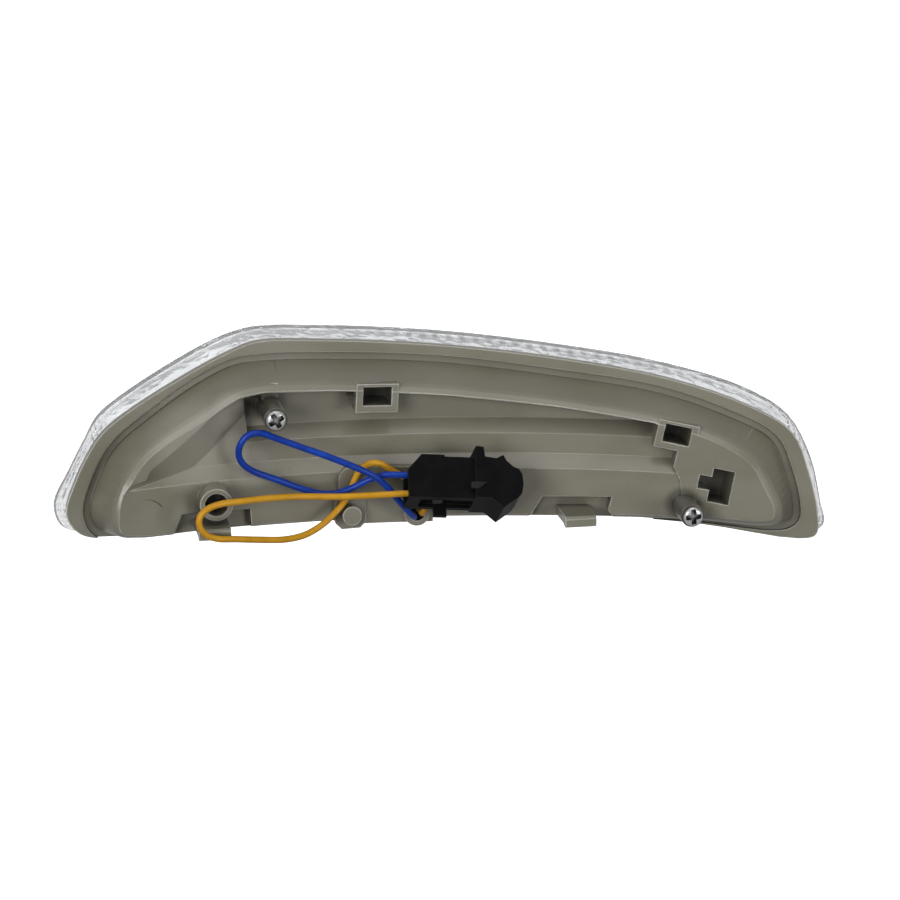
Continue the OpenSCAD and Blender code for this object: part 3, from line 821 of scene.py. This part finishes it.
def paint(obj: bpy.types.Object, finish: Finish, smooth_deg: float = SMOOTH_DEG) -> None:
    """Put one material on an object and shade it smooth by angle.

    Args:
        obj: Mesh object.
        finish: Finish that makes the material, where none has its name yet.
        smooth_deg: Edges flatter than this are shaded smooth.
    """
    material = bpy.data.materials.get(finish.name) or finish.material()
    obj.data.materials.clear()
    obj.data.materials.append(material)
    obj.data.shade_smooth()
    obj.data.set_sharp_from_angle(angle=math.radians(smooth_deg))


def link(name: str, data: bpy.types.ID) -> bpy.types.Object:
    """Put new data into the scene as an object.

    Args:
        name: Name of the object.
        data: Mesh, curve, camera or light.

    Returns:
        The new object.
    """
    obj = bpy.data.objects.new(name, data)
    bpy.context.scene.collection.objects.link(obj)
    return obj


def mesh_object(name: str, verts: list[Vector], faces: list[Face]) -> bpy.types.Object:
    """Make a mesh object with outward normals.

    Args:
        name: Name of the object.
        verts: Its points in metres.
        faces: Its faces as indices into the points.

    Returns:
        The new object.
    """
    mesh = bpy.data.meshes.new(name)
    mesh.from_pydata(verts, [], faces)
    shape = bmesh.new()
    shape.from_mesh(mesh)
    bmesh.ops.recalc_face_normals(shape, faces=shape.faces)
    shape.to_mesh(mesh)
    shape.free()
    return link(name, mesh)


@dataclass(frozen=True)
class SoftLight:
    """One soft square light; sizes in metres and power in watts."""

    name: str
    place: Triple
    size: float
    power: float
    mirrored: bool = True

    def hang(self, aim: Triple) -> None:
        """Hang the light so that it looks at a point.

        Args:
            aim: The point, in metres.
        """
        lamp = bpy.data.lights.new(self.name, "AREA")
        lamp.shape = "SQUARE"
        lamp.size = self.size
        lamp.energy = self.power
        obj = link(self.name, lamp)
        obj.location = self.place
        obj.rotation_euler = (Vector(self.place) - Vector(aim)).to_track_quat("Z", "Y").to_euler()
        obj.visible_transmission = self.mirrored
        obj.visible_glossy = self.mirrored


@dataclass
class Studio:
    """Camera, floor and soft light of the photograph; lengths in metres."""

    aim: Triple = (0.0636, 0.02624, 0.0037)
    distance: float = 0.9
    azimuth_deg: float = -10.0
    elevation_deg: float = 16.0
    focal_mm: float = 139.15
    sensor_mm: float = 36.0
    nearest: float = 0.01
    floor_z: float = -0.115
    floor_reach: float = 30.0
    sky: float = 0.5
    lights: tuple[SoftLight, ...] = (
        SoftLight("key_light", (-0.62, -0.95, 0.28), 0.50, 6.8),
        SoftLight("side_light", (0.70, -0.90, 0.12), 0.40, 3.0),
        SoftLight("broad_light", (0.05, -0.55, 1.30), 1.20, 5.6),
        SoftLight("inner_light", (0.10, 0.95, 0.40), 0.80, 4.5, mirrored=False),
    )

    def place_camera(self) -> None:
        """Put the camera where the photograph was taken from."""
        turn, rise = math.radians(self.azimuth_deg), math.radians(self.elevation_deg)
        level = math.cos(rise)
        back = Vector((math.sin(turn) * level, -math.cos(turn) * level, math.sin(rise)))
        lens = bpy.data.cameras.new("photo_camera")
        lens.lens = self.focal_mm
        lens.sensor_width = self.sensor_mm
        lens.clip_start = self.nearest
        camera = link("photo_camera", lens)
        camera.location = Vector(self.aim) + back * self.distance
        camera.rotation_euler = back.to_track_quat("Z", "Y").to_euler()
        bpy.context.scene.camera = camera
        LOG.info("camera placed")

    def lay_floor(self) -> None:
        """Lay the floor well below the lamp, seen by the camera but not mirrored in the lamp."""
        far = self.floor_reach
        corners = [(-far, -far), (far, -far), (far, far), (-far, far)]
        verts = [Vector((x, y, self.floor_z)) for x, y in corners]
        floor = mesh_object("floor", verts, [(0, 1, 2, 3)])
        floor.data.materials.append(FloorPaper().material())
        floor.visible_diffuse = False
        floor.visible_glossy = False
        LOG.info("floor laid")

    def light(self) -> None:
        """Light the lamp softly, mostly from the camera's side and from above."""
        for light in self.lights:
            light.hang(self.aim)
        world = bpy.data.worlds.new("studio")
        bpy.context.scene.world = world
        world.use_nodes = True
        background = world.node_tree.nodes["Background"]
        background.inputs["Color"].default_value = grey(1.0)
        background.inputs["Strength"].default_value = self.sky
        world.cycles_visibility.diffuse = False
        bpy.context.scene.view_settings.view_transform = "Standard"
        LOG.info("studio lit")


def curve_through(points: Route, steps: int) -> list[Vector]:
    """Follow points with the same curve that the solid wires are swept on.

    Args:
        points: Points in millimetres.
        steps: Steps between each two points.

    Returns:
        Points on the curve, in metres.
    """
    knots = [Vector(p) * MM for p in points]
    knots = [2 * knots[0] - knots[1], *knots, 2 * knots[-1] - knots[-2]]
    found: list[Vector] = []
    # m and n are the slopes at b and c, by the root of each distance; a cubic joins b and c.
    for a, b, c, d in zip(knots, knots[1:], knots[2:], knots[3:]):
        k, ka, kd = (math.sqrt((q - p).length) for p, q in ((b, c), (a, b), (c, d)))
        m = (b - a) * (k / ka) - (c - a) * (k / (ka + k)) + (c - b)
        n = (c - b) - (d - b) * (k / (k + kd)) + (d - c) * (k / kd)
        for step in range(steps):
            t = step / steps
            found.append(
                b * (2 * t**3 - 3 * t**2 + 1)
                + m * (t**3 - 2 * t**2 + t)
                + c * (3 * t**2 - 2 * t**3)
                + n * (t**3 - t**2)
            )
    return [*found, knots[-2]]


@dataclass
class Lead:
    """One insulated wire between the cable exit and the connector."""

    node: str
    route: Route
    finish: Finish
    carried: list[bpy.types.Object]
    diameter: float = 0.0017
    steps: int = 6
    bevel_steps: int = 4

    def build(self) -> bpy.types.Object:
        """Returns:
            The wire's object.
        """
        line = curve_through(self.route, self.steps)
        curve = bpy.data.curves.new(f"{self.node}_skin", "CURVE")
        curve.dimensions = "3D"
        curve.bevel_depth = self.diameter / 2
        curve.bevel_resolution = self.bevel_steps
        curve.use_fill_caps = True
        spline = curve.splines.new("POLY")
        spline.points.add(len(line) - 1)
        for point, place in zip(spline.points, line):
            point.co = (*place, 1.0)
        spline.use_smooth = True
        wire = link(f"{self.node}_skin", curve)
        curve.materials.append(self.finish.material())
        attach(wire, "root")
        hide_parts(self.node)
        length = sum((q - p).length for p, q in zip(line, line[1:]))
        LOG.info("%s laid, %.1f mm", self.node, length / MM)
        return wire


@dataclass
class Loom:
    """The two wires and the connector that they end in; lengths in millimetres.

    The latch's corners are measured from plug_at, in the connector's own axes. Its top slopes
    from the shoulder on the near side to its full height on the far side.
    """

    blue: Route
    orange: Route
    plug_at: Triple = (57.4, 4.7, 1.4)
    plug_dip_deg: float = 5.0
    plug_lean_deg: float = 52.0
    latch_low: Triple = (6.7, -3.2, 3.9)
    latch_high: Triple = (10.8, -1.7, 6.2)
    latch_slant: float = 2.0
    latch_shoulder: float = 5.3
    latch_edge: float = 0.15
    latch_edge_steps: int = 3
    housings: tuple[tuple[str, str], ...] = (
        ("plug_body", "connector_black"),
        ("plug_hood", "hood_black"),
    )
    terminals: tuple[str, ...] = ("terminal_1", "terminal_2")

    def latch(self) -> bpy.types.Object:
        """Make the small sloping latch that stands on the hood.

        Returns:
            The latch's object.
        """
        left, near, bottom = self.latch_low
        right, far, top = self.latch_high
        plan = [(left, near), (right - self.latch_slant, near), (right, far), (left, far)]
        tops = (self.latch_shoulder, self.latch_shoulder, top, top)
        seat = (
            Matrix.Translation(Vector(self.plug_at) * MM)
            @ Matrix.Rotation(math.radians(self.plug_dip_deg), 4, "Y")
            @ Matrix.Rotation(math.radians(self.plug_lean_deg), 4, "X")
        )
        points = [(u, v, bottom) for u, v in plan] + [(u, v, w) for (u, v), w in zip(plan, tops)]
        verts = [seat @ (Vector(point) * MM) for point in points]
        sides = [(k, (k + 1) % 4, 4 + (k + 1) % 4, 4 + k) for k in range(4)]
        latch = mesh_object("plug_latch", verts, [(3, 2, 1, 0), (4, 5, 6, 7), *sides])
        eased = latch.modifiers.new("eased_edges", "BEVEL")
        eased.width, eased.segments = self.latch_edge * MM, self.latch_edge_steps
        black = PlainPlastic("latch_black", grey(0.012), grey(0.018), roughness=0.45, gloss=0.2)
        paint(latch, black)
        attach(latch, "root")
        LOG.info("latch set on the hood")
        return latch

    @staticmethod
    def insulation(name: str, colour: Colour, shade: Colour) -> PlainPlastic:
        """Return a wire's satin insulation.

        Args:
            name: Name of the material.
            colour: Main colour.
            shade: Colour of its paler patches.

        Returns:
            The finish.
        """
        return PlainPlastic(
            name,
            colour,
            shade,
            roughness=0.34,
            grain_mm=0.25,
            depth_mm=0.012,
            edge_mm=0.0,
            gloss=0.28,
        )

    def lay_wires(self) -> None:
        """Lay the blue and the orange wire, and set the latch on the connector that they end in."""
        nodes = (*(node for node, _ in self.housings), "plug_lock", *self.terminals)
        carried = [*(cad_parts[node] for node in nodes), self.latch()]
        blue, pale_blue = rgb(0.004, 0.042, 0.36), rgb(0.008, 0.068, 0.50)
        skin = self.insulation("blue_insulation", blue, pale_blue)
        Lead("wire_blue", self.blue, skin, carried).build()
        orange, pale_orange = rgb(0.72, 0.35, 0.014), rgb(0.82, 0.42, 0.024)
        skin = self.insulation("orange_insulation", orange, pale_orange)
        Lead("wire_orange", self.orange, skin, carried).build()

    def dress_connector(self) -> None:
        """Dress the connector's pieces."""
        black, shade = rgb(0.0035, 0.0035, 0.004), rgb(0.006, 0.006, 0.0065)
        for node, name in self.housings:
            dress(node, PlainPlastic(name, black, shade, roughness=0.5, gloss=0.05, painted_highlight=0.7))
        lock = PlainPlastic("lock_grey", grey(0.05), grey(0.065), roughness=0.45, gloss=0.15)
        dress("plug_lock", lock)
        tin = BareMetal("terminal_tin", rgb(0.60, 0.52, 0.34), rgb(0.66, 0.60, 0.46))
        for node in self.terminals:
            dress(node, tin)


@dataclass
class PanScrew:
    """A pan-head screw with a cross recess and a coarse thread; lengths in metres."""

    node: str
    turn_deg: float
    shank_radius: float = 1.1 * MM
    seat_depth: float = 1.7 * MM
    dome_share: float = 0.62
    dome_power: int = 4
    recess_length: float = 2.05 * MM
    recess_width: float = 1.0 * MM
    recess_depth: float = 1.3 * MM
    recess_slope: float = 0.22 * MM
    recess_end: float = 0.5 * MM
    bare_rings: int = 3
    edge: float = 0.12 * MM
    neck_share: float = 0.9
    crest_share: float = 0.99
    root_share: float = 0.78
    thread_turns: int = 9
    turn_rings: int = 4
    crest_rings: tuple[int, ...] = (1, 2)
    tip_length: float = 0.8 * MM
    tip_radius: float = 0.25 * MM
    spokes: int = 96
    rings: int = 34
    smooth_deg: float = 50.0

    def _recess(self, x: float, z: float) -> float:
        """Return how deep the cross is sunk at a point of the head.

        Args:
            x: Distance across the head.
            z: Distance up the head.

        Returns:
            The depth.
        """
        turn = math.radians(self.turn_deg)
        u = x * math.cos(turn) + z * math.sin(turn)
        v = z * math.cos(turn) - x * math.sin(turn)
        depth = 0.0
        # The 0.5 puts the middle of the sloping side at the stated width.
        for along, across in ((u, v), (v, u)):
            side = (self.recess_width / 2 - abs(across)) / self.recess_slope + 0.5
            end = (self.recess_length - abs(along)) / self.recess_end
            depth = max(depth, min(max(side, 0.0), 1.0) * min(max(end, 0.0), 1.0))
        return self.recess_depth * depth

    def _dome(self, head: float, face: float) -> list[Span]:
        """Return the head's profile, from its middle to its rim.

        Args:
            head: Radius of the head.
            face: Y of its middle.

        Returns:
            Radius and Y of each ring.
        """
        radii = [head * math.sin(math.pi / 2 * k / self.rings) for k in range(1, self.rings + 1)]
        height = self.seat_depth * self.dome_share
        falls = [math.sqrt(max(1 - (r / head) ** self.dome_power, 0.0)) for r in radii]
        return [(r, face + height * (1 - fall)) for r, fall in zip(radii, falls)]

    def _shank(self, head: float, seat: float, tip: float) -> list[Span]:
        """Return the profile from the head's rim over the thread to the tip.

        Args:
            head: Radius of the head.
            seat: Y of the head's underside.
            tip: Y of the tip.

        Returns:
            Radius and Y of each ring.
        """
        profile = [(head, seat - self.edge), (head - self.edge, seat)]
        profile.append((self.shank_radius * self.neck_share, seat))
        steps = self.thread_turns * self.turn_rings
        for k in range(steps + 1):
            crest = k % self.turn_rings in self.crest_rings
            share = self.crest_share if crest else self.root_share
            y = seat + (tip - self.tip_length - seat) * (k + 1) / (steps + 2)
            profile.append((self.shank_radius * share, y))
        return [*profile, (self.tip_radius, tip)]

    def build(self) -> bpy.types.Object:
        """Make the screw in place of its solid.

        Returns:
            The screw's object.
        """
        low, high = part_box(self.node)
        axis_x, axis_z = (low[0] + high[0]) / 2, (low[2] + high[2]) / 2
        head = (high[0] - low[0]) / 2
        profile = self._dome(head, low[1])
        sunk_rings = len(profile) - self.bare_rings
        profile += self._shank(head, low[1] + self.seat_depth, high[1])
        verts = [Vector((axis_x, low[1] + self._recess(0, 0), axis_z))]
        for index, (r, y) in enumerate(profile):
            for j in range(self.spokes):
                angle = 2 * math.pi * j / self.spokes
                x, z = r * math.cos(angle), r * math.sin(angle)
                sunk = self._recess(x, z) if index < sunk_rings else 0.0
                verts.append(Vector((axis_x + x, y + sunk, axis_z + z)))
        spokes, last = self.spokes, 1 + (len(profile) - 1) * self.spokes
        faces: list[Face] = [(0, 1 + (j + 1) % spokes, 1 + j) for j in range(spokes)]
        for start in range(1, last, spokes):
            for j in range(spokes):
                a, b = start + j, start + (j + 1) % spokes
                faces.append((a, b, b + spokes, a + spokes))
        faces.append(tuple(last + j for j in range(spokes)))
        screw = mesh_object(f"{self.node}_turned", verts, faces)
        zinc = BareMetal("bright_zinc", grey(0.44), grey(0.60), roughness=0.38, edge_mm=0.0)
        paint(screw, zinc, self.smooth_deg)
        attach(screw, "root")
        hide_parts(self.node)
        LOG.info("%s turned", self.node)
        return screw


@dataclass
class Lamp:
    """The housing, the lens and what they hold."""

    shell_smooth_deg: float = 24.0
    leds: int = 5
    chips: tuple[str, ...] = ("resistor_1", "resistor_2", "resistor_3", "diode")
    screw_turns: tuple[tuple[str, float], ...] = (("screw_left", 28.0), ("screw_right", 4.0))

    def dress(self) -> None:
        """Dress every solid that keeps its own shape; the lens lets all light through."""
        dress("housing", MouldedShell(), self.shell_smooth_deg)
        dress("lens", ClearShell(), self.shell_smooth_deg).visible_shadow = False
        white, pale = rgb(0.74, 0.74, 0.73), rgb(0.80, 0.80, 0.79)
        mirror = PlainPlastic("reflector_white", white, pale, roughness=0.22, coat=0.4)
        dress("reflector", mirror, self.shell_smooth_deg)
        dress("circuit_board", BoardMask())
        for number in range(1, self.leds + 1):
            dress(f"led_{number}", LampResin())
        black = rgb(0.012, 0.012, 0.013)
        resin = PlainPlastic("chip_resin", black, grey(0.02), roughness=0.5, grain_mm=0.2)
        for node in self.chips:
            dress(node, resin)
        copper, pale = rgb(0.62, 0.30, 0.16), rgb(0.70, 0.40, 0.24)
        dress("board_leads", BareMetal("bare_copper", copper, pale, roughness=0.3))
        rubber = PlainPlastic("seal_rubber", grey(0.010), grey(0.016), roughness=0.7)
        dress("wire_seal", rubber)

    def drive_screws(self) -> None:
        """Drive the screws, each turned by its own angle."""
        for node, turn_deg in self.screw_turns:
            PanScrew(node, turn_deg).build()


BLUE_ROUTE: Route = [
    (51.7, 15.0, -9.2), (51.7, 13.5, -9.2), (51.7, 11.8, -9.2), (51.2, 9.4, -8.5),
    (49.2, 7.4, -6.1), (46.3, 5.7, -2.4), (43.6, 4.4, 1.2), (40.0, 3.3, 4.6),
    (34.5, 2.8, 7.6), (28.5, 3.4, 10.2), (21.5, 3.8, 13.0), (15.0, 3.9, 15.7),
    (11.8, 4.1, 16.9), (8.6, 4.2, 16.4), (6.7, 4.4, 14.1), (6.3, 4.9, 11.2),
    (7.5, 5.6, 8.6), (10.4, 6.6, 6.2), (15.7, 7.7, 3.7), (22.0, 8.4, 0.8),
    (27.2, 8.8, -1.0), (31.5, 8.8, -1.1), (35.3, 8.3, 0.2), (39.7, 7.3, 2.5),
    (43.6, 6.2, 3.8), (48.1, 5.8, 3.65), (50.1, 5.8, 3.47), (52.1, 5.8, 3.3),
]
ORANGE_ROUTE: Route = [
    (53.5, 15.0, -8.0), (53.5, 13.5, -8.0), (53.5, 12.2, -8.0), (53.5, 10.7, -8.0),
    (53.6, 9.0, -7.5), (53.8, 7.7, -6.1), (53.8, 7.4, -4.3), (53.5, 8.1, -2.5),
    (52.6, 9.5, -0.8), (50.9, 10.7, 0.7), (48.3, 11.3, 2.0), (45.5, 11.1, 3.8),
    (43.1, 10.5, 5.5), (40.3, 10.2, 5.9), (37.9, 10.3, 4.5), (36.5, 10.6, 1.9),
    (35.2, 10.6, -1.2), (33.3, 10.0, -4.2), (30.6, 8.8, -6.7), (27.2, 7.3, -9.0),
    (22.8, 5.0, -10.5), (17.4, 2.3, -10.6), (10.8, -1.0, -9.3), (4.2, -4.2, -7.8),
    (-0.6, -5.9, -6.9), (-3.5, -6.9, -5.4), (-5.1, -7.4, -2.9), (-4.9, -7.5, -0.5),
    (-3.0, -7.3, 1.3), (0.2, -6.6, 2.2), (5.5, -4.8, 2.1), (13.4, -1.3, 1.5),
    (21.5, 1.4, 0.7), (31.5, 2.6, -0.2), (41.8, 2.7, -0.3), (47.8, 2.73, -0.29),
    (49.8, 2.73, -0.46), (51.77, 2.73, -0.64),
]


def main() -> None:
    """Build the scene in order and report each piece."""
    logging.basicConfig(level=logging.INFO, format="%(name)s: %(message)s")
    studio = Studio()
    studio.place_camera()
    loom = Loom(BLUE_ROUTE, ORANGE_ROUTE)
    loom.lay_wires()
    loom.dress_connector()
    lamp = Lamp()
    lamp.dress()
    lamp.drive_screws()
    studio.lay_floor()
    studio.light()


if __name__ == "__main__":
    main()
